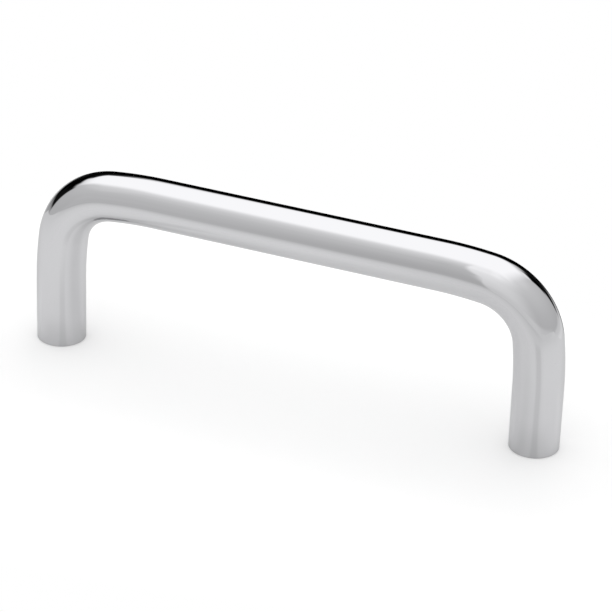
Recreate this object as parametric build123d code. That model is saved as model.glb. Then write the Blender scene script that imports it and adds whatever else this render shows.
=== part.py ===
from build123d import *
from math import radians, tan
import os

# Wire pull for a cabinet door or drawer: one round bar bent into a flat-topped U and tapped in
# both feet. It stands on its feet as on the face of a drawer laid on its back. X runs along the
# grip, Z leads away from the drawer, and the origin lies on the drawer's face, midway between the
# two screw holes. All sizes are in millimetres.

# Bar and overall size
BAR_DIAMETER = 7.5
HOLE_SPACING = 76.2
PROJECTION = 29.7

# Bend, measured on the bar's centre line: most of the quarter turn follows the bending die, and
# the bar runs out of the die at each end on a short arc of a much larger radius
BEND_RADIUS = 9.4
EASE_RADIUS = 60.0
EASE_ANGLE = 7.0

# Foot
FOOT_EDGE_RADIUS = 0.2

# Tapped hole in each foot, drilled for a number 8 screw with 32 threads to the inch
TAP_DRILL_DIAMETER = 3.454
DRILL_DEPTH = 13.0
DRILL_POINT_ANGLE = 118.0
COUNTERSINK_DIAMETER = 4.4
COUNTERSINK_ANGLE = 90.0

bar_radius = BAR_DIAMETER / 2
grip_height = PROJECTION - bar_radius
left_leg_x, right_leg_x = -HOLE_SPACING / 2, HOLE_SPACING / 2


def bend():
    """Arcs of one bend in their own plane, from straight up at the origin to straight right."""
    die_angle = 90 - 2 * EASE_ANGLE
    turns = ((EASE_RADIUS, EASE_ANGLE), (BEND_RADIUS, die_angle), (EASE_RADIUS, EASE_ANGLE))
    arcs = []
    place, heading = Vector(0, 0), Vector(0, 1)
    for radius, angle in turns:
        arc = JernArc(place, heading, radius, -angle)
        place, heading = arc @ 1, arc % 1
        arcs.append(arc)
    return arcs


def centre_line():
    """The bar's centre line: up the left leg, along the grip and down the right leg."""
    arcs = bend()
    bend_height = (arcs[-1] @ 1).Y
    foot = Vector(left_leg_x, 0)
    leg_top = Vector(left_leg_x, grip_height - bend_height)
    left_side = Wire([Line(foot, leg_top), *(Pos(leg_top) * arc for arc in arcs)])
    right_side = left_side.mirror(Plane.YZ)
    grip = Line(left_side @ 1, right_side @ 1)
    return Plane.XZ * Wire([*left_side.edges(), grip, *right_side.edges()])


def bent_bar():
    """The round bar swept along its centre line, with the rim of each foot rounded."""
    path = centre_line()
    section = Plane(origin=path @ 0, z_dir=path % 0) * Circle(bar_radius)
    bar = sweep(section, path=path)
    rims = bar.edges().group_by(Axis.Z)[0]
    return fillet(rims, FOOT_EDGE_RADIUS)


def tapped_hole(leg_x):
    """The space that the drill and the countersink leave, up from the foot's face."""
    drill_radius = TAP_DRILL_DIAMETER / 2
    mouth_radius = COUNTERSINK_DIAMETER / 2
    mouth_depth = (mouth_radius - drill_radius) / tan(radians(COUNTERSINK_ANGLE / 2))
    point_length = drill_radius / tan(radians(DRILL_POINT_ANGLE / 2))
    outline = Polyline(
        (0, 0),
        (mouth_radius, 0),
        (drill_radius, mouth_depth),
        (drill_radius, DRILL_DEPTH),
        (0, DRILL_DEPTH + point_length),
        close=True,
    )
    half_section = Plane.XZ * make_face(outline)
    return Pos(leg_x, 0, 0) * revolve(half_section, Axis.Z)


def wire_pull():
    """The finished pull."""
    return bent_bar() - tapped_hole(left_leg_x) - tapped_hole(right_leg_x)


os.makedirs("parts", exist_ok=True)
export_step(wire_pull(), "parts/pull_bar.step")
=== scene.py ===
"""Looks of a chrome wire pull for a cabinet door or drawer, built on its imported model.

The pull is one round bar, bent into a flat-topped U and tapped in both feet. It stands on its
feet on a pale table, inside a light tent. Lengths are millimetres until a piece is finished, and
angles are degrees. Azimuths run from 0 in front of the grip (-Y) over 90 at its right end (+X) to
180 behind it, and elevations run up from level.
"""

from __future__ import annotations

import logging
import math
from collections.abc import Iterable, Sequence
from dataclasses import dataclass, field
from enum import IntEnum
from typing import Any

import bmesh
import bpy
from bmesh.types import BMEdge, BMesh, BMVert
from mathutils import Matrix, Vector

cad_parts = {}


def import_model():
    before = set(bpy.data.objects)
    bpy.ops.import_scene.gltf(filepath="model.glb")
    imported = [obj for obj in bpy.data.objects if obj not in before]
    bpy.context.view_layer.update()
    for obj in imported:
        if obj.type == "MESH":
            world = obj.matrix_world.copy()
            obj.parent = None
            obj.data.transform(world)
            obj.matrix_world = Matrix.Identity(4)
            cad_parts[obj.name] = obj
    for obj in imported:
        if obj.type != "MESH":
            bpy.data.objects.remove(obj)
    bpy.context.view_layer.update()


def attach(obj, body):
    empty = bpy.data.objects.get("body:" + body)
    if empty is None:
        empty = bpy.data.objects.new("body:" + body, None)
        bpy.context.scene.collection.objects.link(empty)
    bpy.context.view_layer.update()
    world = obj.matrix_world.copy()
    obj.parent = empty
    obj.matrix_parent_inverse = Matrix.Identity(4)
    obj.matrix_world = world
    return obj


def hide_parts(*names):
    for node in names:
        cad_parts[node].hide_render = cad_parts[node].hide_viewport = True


LOG = logging.getLogger("wire_pull")

Tree = bpy.types.NodeTree
Socket = bpy.types.NodeSocket
Span = tuple[float, float]
# Where something begins to show, is full, begins to fade and is gone.
Fades = tuple[float, float, float, float]

MM = 0.001
HOLE_SPACING = 76.2
# Points closer together than this are made one.
WELD_DISTANCE = 0.0005
PULL_BODY = "root"
PULL_NODE = "pull_bar"
# Where each point of the bar's skin lay while the bar was still straight, in millimetres.
UNBENT = "unbent"


class Side(IntEnum):
    """The two legs, by the side of the middle on which they stand."""

    LEFT = -1
    RIGHT = 1


class Finish(IntEnum):
    """Material slots of the pull, in order."""

    POLISHED = 0
    FACED = 1
    TAPPED = 2


def linear_colour(hex_colour: str) -> tuple[float, float, float, float]:
    """Turns an sRGB hex value into Blender's linear colour.

    Args:
        hex_colour: Six hex digits, such as "C4C5C5".

    Returns:
        Red, green, blue and alpha, each from 0 to 1.
    """
    levels = [int(hex_colour[i : i + 2], 16) / 255 for i in (0, 2, 4)]
    red, green, blue = (
        level / 12.92 if level <= 0.04045 else ((level + 0.055) / 1.055) ** 2.4
        for level in levels
    )
    return red, green, blue, 1.0


def add_node(
    tree: Tree,
    kind: str,
    settings: dict[str, Any] | None = None,
    inputs: dict[str | int, Any] | None = None,
) -> bpy.types.Node:
    """Adds a node, sets it up and links what feeds it.

    Args:
        tree: The node tree that gets the node.
        kind: The node's Blender type.
        settings: Values of the node's own properties.
        inputs: For each input socket, by name or number, a value or the socket that feeds it.

    Returns:
        The new node.
    """
    node = tree.nodes.new(kind)
    for name, value in (settings or {}).items():
        setattr(node, name, value)
    for key, value in (inputs or {}).items():
        if isinstance(value, Socket):
            tree.links.new(value, node.inputs[key])
        else:
            node.inputs[key].default_value = value
    return node


def calculate(tree: Tree, operation: str, *values: float | Socket) -> Socket:
    """Adds one step of arithmetic.

    Args:
        tree: The node tree that gets the step.
        operation: The Math node's operation.
        values: Numbers, or the sockets that give them.

    Returns:
        The socket that holds the result.
    """
    node = add_node(tree, "ShaderNodeMath", {"operation": operation}, dict(enumerate(values)))
    return node.outputs[0]


def ease(tree: Tree, value: Socket, start: float, end: float) -> Socket:
    """Rises smoothly from 0 to 1 between two values.

    Args:
        tree: The node tree that gets the step.
        value: The value to follow.
        start: Where the result leaves 0. It may be above end, and the result then falls.
        end: Where the result reaches 1.

    Returns:
        The socket that holds the result.
    """
    settings = {"interpolation_type": "SMOOTHSTEP"}
    inputs = {"Value": value, "From Min": start, "From Max": end}
    return add_node(tree, "ShaderNodeMapRange", settings, inputs).outputs["Result"]


def window(tree: Tree, value: Socket, fades: Fades) -> Socket:
    """Is 1 inside a span with soft ends and 0 outside it.

    Args:
        tree: The node tree that gets the steps.
        value: The value to follow.
        fades: The span and its soft ends.

    Returns:
        The socket that holds the result.
    """
    start, full, fade, end = fades
    return calculate(
        tree, "MULTIPLY", ease(tree, value, start, full), ease(tree, value, end, fade)
    )


def hypotenuse(tree: Tree, across: Socket, along: Socket) -> Socket:
    """Turns two distances at right angles into the straight one.

    Args:
        tree: The node tree that gets the steps.
        across: The first distance.
        along: The second distance.

    Returns:
        The socket that holds the result.
    """
    squared = calculate(tree, "MULTIPLY", along, along)
    return calculate(tree, "SQRT", calculate(tree, "MULTIPLY_ADD", across, across, squared))


def adjust(tree: Tree, level: float | Socket, mask: Socket, gain: float) -> Socket:
    """Brightens or dims a level where a mask is 1.

    Args:
        tree: The node tree that gets the steps.
        level: The level outside the mask.
        mask: The share of the change, from 0 to 1.
        gain: The factor for the level where the mask is 1.

    Returns:
        The socket that holds the result.
    """
    factor = calculate(tree, "MULTIPLY_ADD", mask, gain - 1, 1.0)
    return calculate(tree, "MULTIPLY", level, factor)


def new_material(name: str) -> tuple[bpy.types.Material, Tree]:
    """Makes an empty node material.

    Args:
        name: The material's name.

    Returns:
        The material and its node tree.
    """
    material = bpy.data.materials.new(name)
    material.use_nodes = True
    material.node_tree.nodes.clear()
    return material, material.node_tree


def open_edges(bm: BMesh, centre: Vector, reach: float) -> list[BMEdge]:
    """Finds the edges round holes in a mesh near a point.

    Args:
        bm: The mesh.
        centre: The point.
        reach: How far from it an edge may lie.

    Returns:
        The edges that have one face only.
    """
    return [
        edge
        for edge in bm.edges
        if edge.is_boundary and all((vert.co - centre).length < reach for vert in edge.verts)
    ]


def extend(bm: BMesh, ring: Iterable[BMEdge]) -> tuple[list[BMVert], list[BMEdge]]:
    """Extrudes a ring of edges in place.

    Args:
        bm: The mesh that holds the ring.
        ring: The ring's edges.

    Returns:
        The new ring's vertices and edges, which still lie on the old ones.
    """
    grown = bmesh.ops.extrude_edge_only(bm, edges=list(ring))["geom"]
    verts = [item for item in grown if isinstance(item, BMVert)]
    made = set(verts)
    edges = [
        item for item in grown if isinstance(item, BMEdge) and made.issuperset(item.verts)
    ]
    return verts, edges


@dataclass(frozen=True)
class Straight:
    """A straight run of the bar."""

    length: float
    steps: int

    def step(self) -> Matrix:
        """Gives the move of one step, in the frame of the bar's end."""
        return Matrix.Translation((0.0, 0.0, self.length / self.steps))


@dataclass(frozen=True)
class Turn:
    """An arc of the bar, towards the inside of the bend."""

    radius: float
    angle: float
    steps: int

    @property
    def length(self) -> float:
        """The arc's length on the bar's centre line."""
        return self.radius * math.radians(self.angle)

    def step(self) -> Matrix:
        """Gives the move of one step.

        Returns:
            The move, in the frame of the bar's end.
        """
        pivot = Matrix.Translation((self.radius, 0.0, 0.0))
        swing = Matrix.Rotation(math.radians(self.angle / self.steps), 4, "Y")
        return pivot @ swing @ pivot.inverted()


@dataclass(frozen=True)
class TappedHole:
    """A blind hole, drilled, countersunk and tapped for a number 8 screw.

    It opens at the origin and runs up along +Z.
    """

    drill_diameter: float = 3.454
    drill_depth: float = 13.0
    point_angle: float = 118.0
    countersink_diameter: float = 4.4
    thread_diameter: float = 4.166
    pitch: float = 25.4 / 32
    flank_angle: float = 60.0
    thread_depth: float = 10.5
    # A taper tap cuts its last turns ever shallower.
    runout_turns: float = 2.5
    steps_per_turn: int = 48
    cut_tolerance: float = 0.0001

    def thread_profile(self) -> list[Vector]:
        """Gives one pitch of the thread's section: crest, flank, root and flank.

        Returns:
            The section's corners, from the lowest up.
        """
        crest, root = self.drill_diameter / 2, self.thread_diameter / 2
        flank = (root - crest) * math.tan(math.radians(self.flank_angle / 2))
        # The flat at a standard thread's root is an eighth of the pitch.
        root_flat = self.pitch / 8
        crest_flat = self.pitch - 2 * flank - root_flat
        corners = (
            (crest, 0.0),
            (crest, crest_flat),
            (root, crest_flat + flank),
            (root, crest_flat + flank + root_flat),
            (crest, self.pitch),
        )
        return [Vector((radius, 0.0, height - self.pitch)) for radius, height in corners]

    def cut_thread(self, bm: BMesh) -> None:
        """Winds the section up the hole and trims it flat at both ends.

        Args:
            bm: The empty mesh that gets the thread.
        """
        verts = [bm.verts.new(corner) for corner in self.thread_profile()]
        edges = [bm.edges.new(pair) for pair in zip(verts, verts[1:])]
        turns = math.ceil(self.thread_depth / self.pitch) + 1
        bmesh.ops.spin(
            bm,
            geom=[*verts, *edges],
            cent=(0.0, 0.0, 0.0),
            axis=(0.0, 0.0, 1.0),
            dvec=(0.0, 0.0, self.pitch / self.steps_per_turn),
            angle=math.tau * turns,
            steps=turns * self.steps_per_turn,
        )
        bmesh.ops.remove_doubles(bm, verts=bm.verts, dist=WELD_DISTANCE)
        for height, away in ((0.0, -1.0), (self.thread_depth, 1.0)):
            bmesh.ops.bisect_plane(
                bm,
                geom=[*bm.verts, *bm.edges, *bm.faces],
                dist=self.cut_tolerance,
                plane_co=(0.0, 0.0, height),
                plane_no=(0.0, 0.0, away),
                clear_outer=True,
            )

    def ream_ends(self, bm: BMesh) -> None:
        """Opens the thread to the countersink at its mouth and fades it out at its far end.

        Args:
            bm: The mesh that holds the thread.
        """
        crest, root = self.drill_diameter / 2, self.thread_diameter / 2
        runout = self.runout_turns * self.pitch
        for vert in bm.verts:
            radius = math.hypot(vert.co.x, vert.co.y)
            cut = min(1.0, max(0.0, (self.thread_depth - vert.co.z) / runout))
            reach = min(radius, crest + (root - crest) * cut)
            # The countersink is a cone of 90 degrees.
            reach = max(reach, self.countersink_diameter / 2 - vert.co.z)
            vert.co.xy *= reach / radius

    def mesh(self) -> bpy.types.Mesh:
        """Builds the hole's wall.

        Returns:
            A mesh that is open at the hole's mouth only.
        """
        bm = bmesh.new()
        self.cut_thread(bm)
        self.ream_ends(bm)
        ring = [
            edge
            for edge in bm.edges
            if edge.is_boundary and edge.verts[0].co.z > self.thread_depth / 2
        ]
        wall, ring = extend(bm, ring)
        bmesh.ops.translate(bm, verts=wall, vec=(0.0, 0.0, self.drill_depth - self.thread_depth))
        point_length = self.drill_diameter / 2 / math.tan(math.radians(self.point_angle / 2))
        point, ring = extend(bm, ring)
        tip = Vector((0.0, 0.0, self.drill_depth + point_length))
        bmesh.ops.pointmerge(bm, verts=point, merge_co=tip)
        for face in bm.faces:
            face.material_index = Finish.TAPPED
        mesh = bpy.data.meshes.new("tapped_hole")
        bm.to_mesh(mesh)
        bm.free()
        return mesh


@dataclass(frozen=True)
class BentBar:
    """The whole pull: a round bar bent twice, with a tapped hole in each foot."""

    diameter: float = 7.5
    hole_spacing: float = HOLE_SPACING
    projection: float = 29.7
    # The bar leaves the bending die on a short arc of a much larger radius.
    bend_radius: float = 9.4
    bend_steps: int = 38
    ease_radius: float = 60.0
    ease_angle: float = 7.0
    ease_steps: int = 7
    foot_edge_radius: float = 0.2
    foot_edge_steps: int = 5
    facets: int = 128
    ring_spacing: float = 1.2
    crease_angle: float = 25.0
    # A face that points down at least this squarely is part of a foot's end.
    foot_squareness: float = 0.999
    hole: TappedHole = field(default_factory=TappedHole)

    def bend(self) -> tuple[Turn, Turn, Turn]:
        """Gives the arcs of one quarter turn.

        Returns:
            The arc into the bend, the bend itself and the arc out of it.
        """
        run_out = Turn(self.ease_radius, self.ease_angle, self.ease_steps)
        die = Turn(self.bend_radius, 90 - 2 * self.ease_angle, self.bend_steps)
        return run_out, die, run_out

    def bend_setback(self) -> float:
        """Works out how far from the corner of the two centre lines the bend begins.

        Returns:
            The distance.
        """
        heading, setback = 0.0, 0.0
        for turn in self.bend():
            after = heading + turn.angle
            setback += turn.radius * (
                math.sin(math.radians(after)) - math.sin(math.radians(heading))
            )
            heading = after
        return setback

    def run(self, length: float) -> Straight:
        """Gives a straight run whose rings lie about as close as the bend's."""
        return Straight(length, steps=round(length / self.ring_spacing))

    def course(self) -> list[Straight | Turn]:
        """Gives the moves of the bar's end.

        Returns:
            The moves in order, from the left foot to the right foot.
        """
        leg = self.run(self.projection - self.diameter / 2 - self.bend_setback())
        grip = self.run(self.hole_spacing - 2 * self.bend_setback())
        return [leg, *self.bend(), grip, *self.bend(), leg]

    def foot(self, side: Side) -> Vector:
        """Gives the centre of a foot's face."""
        return Vector((side * self.hole_spacing / 2, 0.0, 0.0))

    def sweep(self, bm: BMesh) -> None:
        """Carries a ring of the bar's section along its course.

        Args:
            bm: The empty mesh that gets the bar's skin, which is open at both feet.
        """
        unbent = bm.verts.layers.float_vector.new(UNBENT)
        start = self.foot(Side.LEFT)
        frame = Matrix.Translation(start)
        verts = bmesh.ops.create_circle(
            bm, segments=self.facets, radius=self.diameter / 2, matrix=frame
        )["verts"]
        for vert in verts:
            vert[unbent] = vert.co - start
        ring = list(bm.edges)
        travelled = 0.0
        for move in self.course():
            for _ in range(move.steps):
                verts, ring = extend(bm, ring)
                bmesh.ops.transform(
                    bm, verts=verts, matrix=frame @ move.step() @ frame.inverted()
                )
                frame = frame @ move.step()
                travelled += move.length / move.steps
                for vert in verts:
                    vert[unbent] = (vert[unbent].x, vert[unbent].y, travelled)

    def face_foot(self, bm: BMesh, centre: Vector, hole: bpy.types.Mesh) -> None:
        """Faces off one foot, rounds its rim and sets the tapped hole in it.

        Args:
            bm: The mesh that holds the bar's skin.
            centre: The centre of the foot's face.
            hole: The hole's wall, opening at the origin.
        """
        radius = self.diameter / 2
        rim = open_edges(bm, centre, self.diameter)
        verts, _ = extend(bm, rim)
        inner = (radius + self.hole.countersink_diameter / 2) / 2
        bmesh.ops.scale(
            bm, verts=verts, vec=(inner / radius,) * 3, space=Matrix.Translation(-centre)
        )
        bmesh.ops.bevel(
            bm,
            geom=rim,
            offset=self.foot_edge_radius,
            offset_type="OFFSET",
            segments=self.foot_edge_steps,
            profile=0.5,
            affect="EDGES",
            material=-1,
        )
        hole.transform(Matrix.Translation(centre))
        bm.from_mesh(hole)
        hole.transform(Matrix.Translation(-centre))
        bmesh.ops.bridge_loops(bm, edges=open_edges(bm, centre, self.diameter))

    def mark_finishes(self, bm: BMesh) -> None:
        """Gives the faced feet their material slot, shades the faces and keeps creases crisp.

        Args:
            bm: The finished mesh.
        """
        for face in bm.faces:
            face.smooth = True
            if face.material_index != Finish.TAPPED and -face.normal.z > self.foot_squareness:
                face.material_index = Finish.FACED
        crease = math.radians(self.crease_angle)
        for edge in bm.edges:
            edge.smooth = edge.calc_face_angle(0.0) < crease

    def build(self) -> bpy.types.Object:
        """Builds the pull in metres, at the place of its CAD node.

        Returns:
            The pull, with no materials yet.
        """
        bm = bmesh.new()
        self.sweep(bm)
        hole = self.hole.mesh()
        for side in Side:
            self.face_foot(bm, self.foot(side), hole)
        bpy.data.meshes.remove(hole)
        bmesh.ops.remove_doubles(bm, verts=bm.verts, dist=WELD_DISTANCE)
        bmesh.ops.recalc_face_normals(bm, faces=bm.faces)
        bm.normal_update()
        self.mark_finishes(bm)
        bmesh.ops.scale(bm, verts=bm.verts, vec=(MM, MM, MM))
        mesh = bpy.data.meshes.new("wire_pull")
        bm.to_mesh(mesh)
        bm.free()
        pull = bpy.data.objects.new("wire_pull", mesh)
        bpy.context.scene.collection.objects.link(pull)
        weighted = pull.modifiers.new("flat faces lead", "WEIGHTED_NORMAL")
        weighted.keep_sharp = True
        return pull

    def dress(self, pull: bpy.types.Object) -> None:
        """Gives the pull its finishes and ties it to its CAD node.

        Args:
            pull: The built pull.
        """
        for finish in (PolishedChrome(), FacedEnd(self.hole_spacing), TappedSteel()):
            pull.data.materials.append(finish.material())
        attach(pull, PULL_BODY)
        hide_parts(PULL_NODE)


@dataclass(frozen=True)
class PolishedChrome:
    """Bright chrome plate over belt-polished steel bar.

    It gives the eye a neutral grey mirror. Long shallow waves left by the polishing wheel bend
    the edges of its reflections a little, and belt marks along the bar haze them faintly.
    """

    colour: str = "C8C8CA"
    # Chromium's reflectance dips before the grazing angle where it rises.
    edge_tint: str = "E0E0E0"
    roughness: float = 0.03
    hazed_roughness: float = 0.06
    # The noise levels at which the marks leave the plate clear and haze it fully.
    haze_levels: Span = (0.35, 0.65)
    wave_length: float = 14.0
    wave_width: float = 3.0
    wave_height: float = 0.0008
    # Real belt marks are about 0.05 apart, too fine to show, so these are drawn coarser.
    mark_length: float = 25.0
    mark_spacing: float = 0.4
    noise_detail: float = 2.0

    def stretched_noise(self, tree: Tree, place: Socket, across: float, along: float) -> Socket:
        """Adds noise that is drawn out along the bar.

        Args:
            tree: The material's node tree.
            place: The point on the straight bar, in millimetres.
            across: The noise's size round the bar, in millimetres.
            along: The noise's size along the bar, in millimetres.

        Returns:
            The socket that holds the noise, from 0 to 1.
        """
        scale = (1 / across, 1 / across, 1 / along)
        mapped = add_node(tree, "ShaderNodeMapping", inputs={"Vector": place, "Scale": scale})
        noise = add_node(
            tree,
            "ShaderNodeTexNoise",
            {"noise_dimensions": "3D"},
            {"Vector": mapped.outputs["Vector"], "Scale": 1.0, "Detail": self.noise_detail},
        )
        return noise.outputs["Fac"]

    def material(self) -> bpy.types.Material:
        """Makes the plate's material.

        Returns:
            The material.
        """
        material, tree = new_material("polished_chrome_plate")
        unbent = add_node(tree, "ShaderNodeAttribute", {"attribute_name": UNBENT})
        place = unbent.outputs["Vector"]
        clear, hazed = self.haze_levels
        roughness = add_node(
            tree,
            "ShaderNodeMapRange",
            inputs={
                "Value": self.stretched_noise(tree, place, self.mark_spacing, self.mark_length),
                "From Min": clear,
                "From Max": hazed,
                "To Min": self.roughness,
                "To Max": self.hazed_roughness,
            },
        )
        waves = add_node(
            tree,
            "ShaderNodeBump",
            inputs={
                "Strength": 1.0,
                "Distance": self.wave_height * MM,
                "Height": self.stretched_noise(tree, place, self.wave_width, self.wave_length),
            },
        )
        surface = add_node(
            tree,
            "ShaderNodeBsdfPrincipled",
            inputs={
                "Base Color": linear_colour(self.colour),
                "Metallic": 1.0,
                "Specular Tint": linear_colour(self.edge_tint),
                "Roughness": roughness.outputs["Result"],
                "Normal": waves.outputs["Normal"],
            },
        )
        add_node(tree, "ShaderNodeOutputMaterial", inputs={"Surface": surface.outputs[0]})
        return material


@dataclass(frozen=True)
class FacedEnd:
    """The foot's end as the lathe tool faced it, plated over.

    It gives the eye a soft sheen broken by fine rings round the hole.
    """

    hole_spacing: float
    colour: str = "C0C0BF"
    roughness: float = 0.24
    ring_spacing: float = 0.14
    ring_height: float = 0.004

    def material(self) -> bpy.types.Material:
        """Makes the faced end's material.

        Returns:
            The material.
        """
        material, tree = new_material("faced_chrome_plate")
        place = add_node(tree, "ShaderNodeTexCoord").outputs["Object"]
        split = add_node(tree, "ShaderNodeSeparateXYZ", inputs={0: place})
        aside = calculate(tree, "ABSOLUTE", split.outputs["X"])
        across = calculate(tree, "SUBTRACT", aside, self.hole_spacing / 2 * MM)
        radius = hypotenuse(tree, across, split.outputs["Y"])
        phase = calculate(tree, "MULTIPLY", radius, math.tau / (self.ring_spacing * MM))
        rings = add_node(
            tree,
            "ShaderNodeBump",
            inputs={
                "Strength": 1.0,
                "Distance": self.ring_height * MM,
                "Height": calculate(tree, "SINE", phase),
            },
        )
        surface = add_node(
            tree,
            "ShaderNodeBsdfPrincipled",
            inputs={
                "Base Color": linear_colour(self.colour),
                "Metallic": 1.0,
                "Roughness": self.roughness,
                "Normal": rings.outputs["Normal"],
            },
        )
        add_node(tree, "ShaderNodeOutputMaterial", inputs={"Surface": surface.outputs[0]})
        return material


@dataclass(frozen=True)
class TappedSteel:
    """Cut steel inside the hole, where the plating hardly reaches.

    It gives the eye a darker, warmer and duller metal, mottled by cutting oil.
    """

    colour: str = "8F8B85"
    stained_colour: str = "5F5A53"
    roughness: float = 0.38
    stain_size: float = 0.9
    stain_detail: float = 3.0

    def material(self) -> bpy.types.Material:
        """Makes the cut steel's material.

        Returns:
            The material.
        """
        material, tree = new_material("tapped_steel")
        place = add_node(tree, "ShaderNodeTexCoord").outputs["Object"]
        scale = 1 / (self.stain_size * MM)
        noise = add_node(
            tree,
            "ShaderNodeTexNoise",
            inputs={"Vector": place, "Scale": scale, "Detail": self.stain_detail},
        )
        # The node's colours are its inputs 6 and 7 and its output 2.
        stains = add_node(
            tree,
            "ShaderNodeMix",
            {"data_type": "RGBA"},
            {
                "Factor": noise.outputs["Fac"],
                6: linear_colour(self.colour),
                7: linear_colour(self.stained_colour),
            },
        )
        surface = add_node(
            tree,
            "ShaderNodeBsdfPrincipled",
            inputs={
                "Base Color": stains.outputs[2],
                "Metallic": 1.0,
                "Roughness": self.roughness,
            },
        )
        add_node(tree, "ShaderNodeOutputMaterial", inputs={"Surface": surface.outputs[0]})
        return material


@dataclass(frozen=True)
class Camera:
    """The photograph's camera, placed by the point it is turned round."""

    azimuth: float = 21.5584
    elevation: float = 28.4721
    distance: float = 464.33
    target: tuple[float, float, float] = (1.8366, 0.0, 14.4663)
    roll: float = 2.0055
    lens: float = 186.32
    sensor: float = 36.0
    nearest: float = 10.0
    farthest: float = 100000.0

    def build(self) -> bpy.types.Object:
        """Sets up the scene's camera.

        Returns:
            The camera.
        """
        turned, raised = math.radians(self.azimuth), math.radians(self.elevation)
        back = Vector(
            (
                math.sin(turned) * math.cos(raised),
                -math.cos(turned) * math.cos(raised),
                math.sin(raised),
            )
        )
        lens = bpy.data.cameras.new("camera")
        lens.lens, lens.sensor_width = self.lens, self.sensor
        lens.clip_start, lens.clip_end = self.nearest * MM, self.farthest * MM
        camera = bpy.data.objects.new("camera", lens)
        bpy.context.scene.collection.objects.link(camera)
        level = back.to_track_quat("Z", "Y").to_matrix().to_4x4()
        rolled = level @ Matrix.Rotation(math.radians(self.roll), 4, "Z")
        place = (Vector(self.target) + back * self.distance) * MM
        camera.matrix_world = Matrix.Translation(place) @ rolled
        bpy.context.scene.camera = camera
        return camera


@dataclass(frozen=True)
class PaintedTableFan:
    """A faint painted shade or painted glow that fans out over the table from one foot, for metal
    to mirror.

    Its azimuths are those from the foot, and its reach is how far from the foot it begins to
    fade and is gone. The gain is its brightness against the table round it.
    """

    foot: Side
    azimuths: Fades
    reach: Span
    gain: float

    def mask(self, tree: Tree, right: Socket, rear: Socket) -> Socket:
        """Adds where the fan lies.

        Args:
            tree: The table's node tree.
            right: The millimetres to the right of the pull's middle.
            rear: The millimetres behind it.

        Returns:
            The socket that holds 1 inside the fan and 0 outside it.
        """
        across = calculate(tree, "SUBTRACT", right, self.foot * HOLE_SPACING / 2)
        front = calculate(tree, "MULTIPLY", rear, -1.0)
        azimuth = calculate(tree, "DEGREES", calculate(tree, "ARCTAN2", across, front))
        fade, gone = self.reach
        within = ease(tree, hypotenuse(tree, across, rear), gone, fade)
        return calculate(tree, "MULTIPLY", window(tree, azimuth, self.azimuths), within)


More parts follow.
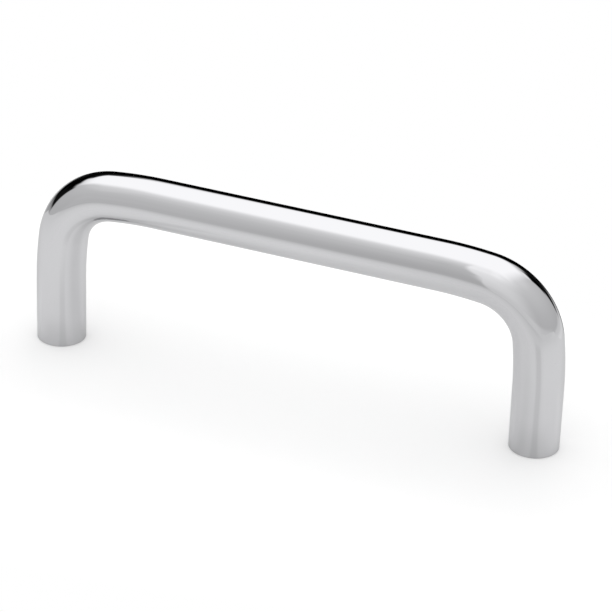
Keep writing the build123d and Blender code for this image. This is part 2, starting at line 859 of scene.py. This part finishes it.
@dataclass(frozen=True)
class Table:
    """The pale table top that the pull stands on, lit most behind it.

    The camera sees it white, with the pull's shadow. The metal mirrors the painted fall-off of
    light over it as well, and the painted shades and glows round the feet.
    """

    left: float = -210.0
    right: float = 500.0
    front: float = -120.0
    rear: float = 40.0
    # It lies this far below the feet, so that it never shows through their faces.
    gap: float = 0.01
    colour: str = "EEEEEE"
    roughness: float = 0.6
    # The painted fall-off of light: the brightest place, its level, what each millimetre away
    # from it costs and the least level.
    painted_bright_spot: Span = (-10.0, 45.0)
    peak: float = 1.17
    fall: float = 0.0013
    least: float = 0.96
    # Towards the front edge the painted light falls faster, sooner on the right but less far out
    # there.
    front_fade: Span = (-35.0, -110.0)
    front_skew: float = -0.2
    front_loss: float = 0.14
    right_fade: Span = (70.0, 115.0)
    right_loss: float = 0.05
    # Share of plain white in what is seen, by the distance from the pull. It thins the shadow
    # near the pull and ends it before the table's edge.
    white_near: float = 0.2
    white_spread: Span = (12.0, 39.0)
    # Painted shades (gain below 1) and painted glows (gain above 1) round the feet, for glossy
    # rays only.
    fans: tuple[PaintedTableFan, ...] = (
        PaintedTableFan(Side.LEFT, (-75.0, -12.0, 20.0, 75.0), (6.0, 15.0), gain=0.87),
        PaintedTableFan(Side.LEFT, (20.0, 75.0, 105.0, 145.0), (5.0, 12.0), gain=0.92),
        PaintedTableFan(Side.LEFT, (14.0, 24.0, 35.0, 45.0), (18.0, 33.0), gain=0.9),
        PaintedTableFan(Side.LEFT, (46.0, 78.0, 98.0, 130.0), (20.0, 34.0), gain=0.92),
        PaintedTableFan(Side.LEFT, (-120.0, -90.0, -80.0, -60.0), (12.0, 30.0), gain=1.07),
        PaintedTableFan(Side.RIGHT, (-80.0, -20.0, 35.0, 100.0), (6.0, 15.0), gain=0.88),
        PaintedTableFan(Side.RIGHT, (3.0, 13.0, 23.0, 33.0), (42.0, 60.0), gain=0.88),
        PaintedTableFan(Side.RIGHT, (-105.0, -75.0, -25.0, -5.0), (30.0, 60.0), gain=0.96),
        PaintedTableFan(Side.RIGHT, (-56.0, -30.0, 26.0, 46.0), (56.0, 80.0), gain=0.95),
        PaintedTableFan(Side.RIGHT, (90.0, 120.0, 150.0, 170.0), (8.0, 30.0), gain=1.09),
        PaintedTableFan(Side.RIGHT, (-150.0, -115.0, -85.0, -60.0), (8.0, 30.0), gain=1.09),
    )

    def material(self) -> bpy.types.Material:
        """Makes matt white laminate, with the painted light in its colour, lifted to white for
        what sees it.

        Returns:
            The material.
        """
        material, tree = new_material("white_laminate")
        rays = add_node(tree, "ShaderNodeLightPath").outputs
        place = add_node(tree, "ShaderNodeTexCoord").outputs["Object"]
        split = add_node(tree, "ShaderNodeSeparateXYZ", inputs={0: place})
        right = calculate(tree, "DIVIDE", split.outputs["X"], MM)
        rear = calculate(tree, "DIVIDE", split.outputs["Y"], MM)
        level = self.painted_light_level(tree, right, rear)
        # Each fan paints a shade or glow into the colour that the metal mirrors.
        for fan in self.fans:
            mask = fan.mask(tree, right, rear)
            painted_fan_mask = calculate(tree, "MULTIPLY", mask, rays["Is Glossy Ray"])
            level = adjust(tree, level, painted_fan_mask, fan.gain)
        colour = add_node(
            tree,
            "ShaderNodeVectorMath",
            {"operation": "SCALE"},
            {0: linear_colour(self.colour)[:3], "Scale": level},
        )
        laminate = add_node(
            tree,
            "ShaderNodeBsdfPrincipled",
            inputs={"Base Color": colour.outputs[0], "Roughness": self.roughness},
        )
        seen: float | Socket = 0.0
        for ray in ("Is Camera Ray", "Is Glossy Ray", "Is Transmission Ray"):
            seen = calculate(tree, "ADD", seen, rays[ray])
        # The camera never sees less than plain white here, but the metal sees the painted level.
        strength = calculate(tree, "MAXIMUM", level, rays["Is Camera Ray"])
        white = add_node(tree, "ShaderNodeEmission", inputs={"Strength": strength})
        surface = add_node(
            tree,
            "ShaderNodeMixShader",
            inputs={
                0: calculate(tree, "MULTIPLY", seen, self.whiteness(tree, right, rear)),
                1: laminate.outputs[0],
                2: white.outputs[0],
            },
        )
        add_node(tree, "ShaderNodeOutputMaterial", inputs={"Surface": surface.outputs[0]})
        return material

    def painted_light_level(self, tree: Tree, right: Socket, rear: Socket) -> Socket:
        """Adds the painted fall-off of light on the table.

        Args:
            tree: The table's node tree.
            right: The millimetres to the right of the pull's middle.
            rear: The millimetres behind it.

        Returns:
            The socket that holds the brightness of white there.
        """
        spot_right, spot_rear = self.painted_bright_spot
        across = calculate(tree, "SUBTRACT", right, spot_right)
        along = calculate(tree, "SUBTRACT", rear, spot_rear)
        away = hypotenuse(tree, across, along)
        level = calculate(tree, "MULTIPLY_ADD", away, -self.fall, self.peak)
        level = calculate(tree, "MAXIMUM", level, self.least)
        skewed = calculate(tree, "MULTIPLY_ADD", right, self.front_skew, rear)
        near_edge = ease(tree, skewed, *self.front_fade)
        far_right = ease(tree, right, *self.right_fade)
        gained = self.right_loss - self.front_loss
        loss = calculate(tree, "MULTIPLY_ADD", far_right, gained, self.front_loss)
        kept = calculate(tree, "SUBTRACT", 1.0, calculate(tree, "MULTIPLY", near_edge, loss))
        return calculate(tree, "MULTIPLY", level, kept)

    def whiteness(self, tree: Tree, right: Socket, rear: Socket) -> Socket:
        """Adds the share of plain white.

        Args:
            tree: The table's node tree.
            right: The millimetres to the right of the pull's middle.
            rear: The millimetres behind it.

        Returns:
            The socket that holds the share.
        """
        aside = calculate(tree, "ABSOLUTE", right)
        past_foot = calculate(tree, "SUBTRACT", aside, HOLE_SPACING / 2)
        beyond = calculate(tree, "MAXIMUM", past_foot, 0.0)
        spread = ease(tree, hypotenuse(tree, beyond, rear), *self.white_spread)
        return calculate(tree, "MULTIPLY_ADD", spread, 1 - self.white_near, self.white_near)

    def build(self) -> bpy.types.Object:
        """Builds the table top, just under the pull's feet.

        Returns:
            The table top.
        """
        bm = bmesh.new()
        square = bmesh.ops.create_grid(bm, x_segments=1, y_segments=1, size=0.5)["verts"]
        size = ((self.right - self.left) * MM, (self.rear - self.front) * MM, 1.0)
        middle = ((self.right + self.left) / 2 * MM, (self.rear + self.front) / 2 * MM, 0.0)
        bmesh.ops.scale(bm, verts=square, vec=size)
        bmesh.ops.translate(bm, verts=square, vec=middle)
        mesh = bpy.data.meshes.new("table_top")
        bm.to_mesh(mesh)
        bm.free()
        table = bpy.data.objects.new("table_top", mesh)
        table.location.z = -self.gap * MM
        bpy.context.scene.collection.objects.link(table)
        mesh.materials.append(self.material())
        return table


@dataclass(frozen=True)
class WallPanel:
    """A part of the tent's wall that is brighter or darker than the rest.

    The gain is its brightness against the wall round it, and without one it is an opening onto
    the dark room. Its upright edges lean to the left by so many degrees for each degree above
    the start of the lean.
    """

    azimuths: Fades
    elevations: Fades
    gain: float = 0.012
    lean: float = 0.0
    lean_start: float = 28.0

    def mask(self, tree: Tree, azimuth: Socket, elevation: Socket) -> Socket:
        """Adds where the panel hangs.

        Args:
            tree: The material's node tree.
            azimuth: The azimuth of what is seen.
            elevation: Its elevation.

        Returns:
            The socket that holds 1 inside the panel and 0 outside it.
        """
        middle = (self.azimuths[0] + self.azimuths[-1]) / 2
        raised = calculate(tree, "SUBTRACT", elevation, self.lean_start)
        above = calculate(tree, "MAXIMUM", raised, 0.0)
        upright = calculate(tree, "MULTIPLY_ADD", above, self.lean, azimuth)
        nearest = calculate(tree, "WRAP", upright, middle + 180, middle - 180)
        sideways = window(tree, nearest, self.azimuths)
        return calculate(tree, "MULTIPLY", sideways, window(tree, elevation, self.elevations))


@dataclass(frozen=True)
class RoofEdge:
    """One edge of the lit roof, a straight line on a level plane one unit above the pull.

    The position against the edge is the distance to the right times the rightward factor, plus
    the distance to the rear times the rearward factor. The light begins to show at one position
    and is full at the other.
    """

    rightward: float
    rearward: float
    shows: float
    full: float


@dataclass(frozen=True)
class RoofPanel:
    """The lit roof of the tent, between its edges."""

    edges: tuple[RoofEdge, ...] = (
        RoofEdge(1.0, 0.0, -2.1, -0.85),
        RoofEdge(0.0, 1.0, -0.66, -0.25),
        RoofEdge(0.486, 1.0, -0.79, -0.38),
        RoofEdge(1.0, -0.2, 0.65, 0.22),
        RoofEdge(1.0, 0.6, 1.4, 0.78),
        RoofEdge(0.0, 1.0, 2.4, 2.0),
    )
    brightness: float = 1.62
    # Flatter directions are taken to climb this much, so that each one meets the roof's plane.
    least_climb: float = 0.001

    def mask(self, tree: Tree, right: Socket, rear: Socket, up: Socket) -> float | Socket:
        """Adds where the roof is lit.

        Args:
            tree: The material's node tree.
            right: The direction's part to the right.
            rear: Its part to the rear.
            up: Its upward part.

        Returns:
            The socket that holds 1 inside the roof and 0 outside it.
        """
        climb = calculate(tree, "MAXIMUM", up, self.least_climb)
        across = calculate(tree, "DIVIDE", right, climb)
        along = calculate(tree, "DIVIDE", rear, climb)
        inside: float | Socket = 1.0
        for edge in self.edges:
            sideways = calculate(tree, "MULTIPLY", across, edge.rightward)
            position = calculate(tree, "MULTIPLY_ADD", along, edge.rearward, sideways)
            light = ease(tree, position, edge.shows, edge.full)
            inside = calculate(tree, "MINIMUM", inside, light)
        return inside


@dataclass(frozen=True)
class LightTent:
    """White cloth all round the pull, lit from outside, with dark openings behind it.

    The camera looks through it, so only the metal and the table see it.
    """

    radius: float = 5000.0
    facets: int = 64
    # Brightness of the plain wall at each elevation.
    wall: tuple[Span, ...] = (
        (-20.0, 1.08),
        (-8.0, 0.72),
        (0.0, 0.70),
        (15.0, 0.75),
        (27.0, 0.81),
        (37.0, 0.85),
        (45.0, 0.89),
        (57.0, 1.04),
        (68.0, 1.16),
    )
    panels: tuple[WallPanel, ...] = (
        WallPanel((-11.8, -9.6, -6.0, 52.0), (-29.0, 10.0, 50.0, 76.0), gain=1.45, lean=0.22),
        WallPanel((-22.0, -16.0, -12.2, -10.6), (-16.0, -12.0, 36.0, 52.0), gain=0.93, lean=0.22),
        WallPanel((-56.0, -44.0, -25.0, -17.0), (-8.0, -4.0, 10.0, 22.0), gain=1.05),
        WallPanel((-42.0, -33.0, -20.0, -15.0), (31.0, 38.0, 50.0, 58.0), gain=0.945),
        WallPanel((-6.0, 14.0, 33.0, 66.0), (30.0, 52.0, 62.0, 82.0), gain=1.15),
        WallPanel((-130.0, -110.0, -25.0, -12.0), (30.0, 42.0, 52.0, 62.0), gain=1.11),
        WallPanel((142.0, 147.0, 155.0, 160.0), (32.0, 35.0, 39.0, 43.0), gain=1.5),
        WallPanel((2.0, 40.0, 78.0, 102.0), (-15.5, -11.5, -3.0, 3.0), gain=1.2),
        WallPanel((228.0, 238.0, 262.0, 274.0), (-22.0, -13.0, -6.0, -2.0), gain=0.78),
        WallPanel((88.0, 108.0, 158.0, 176.0), (-20.0, -13.0, -6.0, -1.0), gain=1.28),
    )
    roof: RoofPanel = field(default_factory=RoofPanel)
    openings: tuple[WallPanel, ...] = (
        WallPanel((148.0, 153.0, 236.0, 246.0), (-12.0, -2.0, 21.0, 28.0)),
        WallPanel((226.0, 234.0, 265.0, 271.0), (-6.5, -0.5, 21.0, 28.0)),
        WallPanel((202.0, 215.0, 234.0, 244.0), (10.0, 16.0, 32.0, 38.0)),
        WallPanel((228.0, 238.0, 250.0, 262.0), (10.0, 16.0, 26.0, 32.0)),
        WallPanel((144.0, 149.0, 160.0, 168.0), (10.0, 16.0, 29.0, 33.0)),
        WallPanel((172.0, 177.0, 211.0, 217.0), (-46.0, -42.0, 25.0, 33.0)),
    )

    def material(self) -> bpy.types.Material:
        """Makes the tent's cloth, whose brightness follows the direction from the pull.

        Returns:
            The material.
        """
        material, tree = new_material("tent_cloth")
        place = add_node(tree, "ShaderNodeTexCoord").outputs["Object"]
        direction = add_node(
            tree, "ShaderNodeVectorMath", {"operation": "NORMALIZE"}, {0: place}
        )
        split = add_node(tree, "ShaderNodeSeparateXYZ", inputs={0: direction.outputs[0]})
        right, rear, up = split.outputs
        front = calculate(tree, "MULTIPLY", rear, -1.0)
        elevation = calculate(tree, "DEGREES", calculate(tree, "ARCSINE", up))
        azimuth = calculate(tree, "DEGREES", calculate(tree, "ARCTAN2", right, front))
        brightness = self.wall_brightness(tree, elevation)
        for panel in self.panels:
            mask = panel.mask(tree, azimuth, elevation)
            brightness = adjust(tree, brightness, mask, panel.gain)
        # The node's numbers are its inputs 2 and 3 and its output 0.
        roofed = add_node(
            tree,
            "ShaderNodeMix",
            inputs={
                "Factor": self.roof.mask(tree, right, rear, up),
                2: brightness,
                3: self.roof.brightness,
            },
        )
        brightness = roofed.outputs[0]
        for opening in self.openings:
            mask = opening.mask(tree, azimuth, elevation)
            brightness = adjust(tree, brightness, mask, opening.gain)
        glow = add_node(tree, "ShaderNodeEmission", inputs={"Strength": brightness})
        add_node(tree, "ShaderNodeOutputMaterial", inputs={"Surface": glow.outputs[0]})
        return material

    def wall_brightness(self, tree: Tree, elevation: Socket) -> float | Socket:
        """Adds the plain wall's brightness.

        Args:
            tree: The material's node tree.
            elevation: The elevation of what is seen.

        Returns:
            The socket that holds the brightness.
        """
        brightness: float | Socket = self.wall[0][1]
        for (low, before), (high, after) in zip(self.wall, self.wall[1:]):
            rise = add_node(
                tree,
                "ShaderNodeMapRange",
                inputs={
                    "Value": elevation,
                    "From Min": low,
                    "From Max": high,
                    "To Max": after - before,
                },
            )
            brightness = calculate(tree, "ADD", brightness, rise.outputs["Result"])
        return brightness

    def build(self) -> bpy.types.Object:
        """Builds the tent, which the camera doesn't see.

        Returns:
            The tent.
        """
        bm = bmesh.new()
        bmesh.ops.create_uvsphere(
            bm, u_segments=self.facets, v_segments=self.facets // 2, radius=self.radius * MM
        )
        mesh = bpy.data.meshes.new("light_tent")
        bm.to_mesh(mesh)
        bm.free()
        tent = bpy.data.objects.new("light_tent", mesh)
        bpy.context.scene.collection.objects.link(tent)
        cloth = self.material()
        cloth.cycles.emission_sampling = "NONE"
        mesh.materials.append(cloth)
        tent.visible_camera = False
        return tent


def whiten_background() -> None:
    """Gives the camera plain white above the table's edge."""
    world = bpy.data.worlds.new("white_room")
    bpy.context.scene.world = world
    world.use_nodes = True
    tree = world.node_tree
    tree.nodes.clear()
    white = add_node(
        tree, "ShaderNodeBackground", inputs={"Color": linear_colour("FFFFFF"), "Strength": 1.0}
    )
    add_node(tree, "ShaderNodeOutputWorld", inputs={"Surface": white.outputs[0]})


def corners(box: Sequence[Vector]) -> list[list[float]]:
    """Turns a box's two corners into plain lists of numbers."""
    return [list(corner) for corner in box]


def main() -> None:
    """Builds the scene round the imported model."""
    logging.basicConfig(level=logging.INFO, format="%(name)s: %(message)s")
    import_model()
    bpy.context.scene.view_settings.view_transform = "Standard"
    Camera().build()
    LOG.info("camera placed")
    bar = BentBar()
    pull = bar.build()
    bar.dress(pull)
    LOG.info("pull built, %d faces", len(pull.data.polygons))
    table = Table().build()
    LOG.info("%s laid", table.name)
    tent = LightTent().build()
    LOG.info("%s put up", tent.name)
    whiten_background()


if __name__ == "__main__":
    main()
